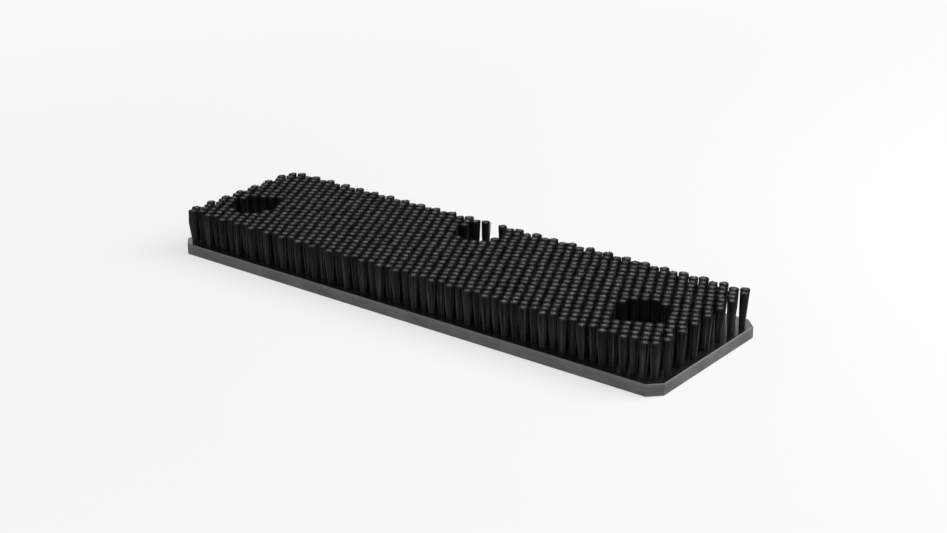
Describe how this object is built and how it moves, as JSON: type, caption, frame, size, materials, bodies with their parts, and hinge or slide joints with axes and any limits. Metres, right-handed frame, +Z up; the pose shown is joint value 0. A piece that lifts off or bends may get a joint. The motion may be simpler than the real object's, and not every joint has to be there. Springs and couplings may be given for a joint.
{
  "type": "tufted brush plate",
  "caption": "Rectangular plastic board with clipped corners, carrying a dense staggered field of upright bristle tufts with round cleared wells for its fixing screws.",
  "frame": {"origin": "centre of the board's underside", "axes": "+X along the board's length, +Y across it from the edge nearer the two front wells towards the edge nearer the rear well, +Z up along the bristles"},
  "size_m": [0.3996, 0.119, 0.0312],
  "materials": {
    "board": "satin top, sawn and milled edges",
    "bristles": "fine filament bundles with paler cut ends",
    "anchor_wire": "drawn flat wire"
  },
  "bodies": {
    "root": {"board": "board", "anchors": "anchor_wire", "tuft_line_01": "bristles", "tuft_line_02": "bristles", "tuft_line_03": "bristles", "tuft_line_04": "bristles", "tuft_line_05": "bristles", "tuft_line_06": "bristles", "tuft_line_07": "bristles", "tuft_line_08": "bristles", "tuft_line_09": "bristles", "tuft_line_10": "bristles", "tuft_line_11": "bristles", "tuft_line_12": "bristles", "tuft_line_13": "bristles", "tuft_line_14": "bristles", "tuft_line_15": "bristles", "tuft_line_16": "bristles", "tuft_line_17": "bristles", "tuft_line_18": "bristles", "tuft_line_19": "bristles", "tuft_line_20": "bristles", "tuft_line_21": "bristles", "tuft_line_22": "bristles", "tuft_line_23": "bristles", "tuft_line_24": "bristles", "tuft_line_25": "bristles", "tuft_line_26": "bristles", "tuft_line_27": "bristles", "tuft_line_28": "bristles", "tuft_line_29": "bristles", "tuft_line_30": "bristles", "tuft_line_31": "bristles", "tuft_line_32": "bristles", "tuft_line_33": "bristles", "tuft_line_34": "bristles", "tuft_line_35": "bristles", "tuft_line_36": "bristles", "tuft_line_37": "bristles"}
  },
  "joints": []
}
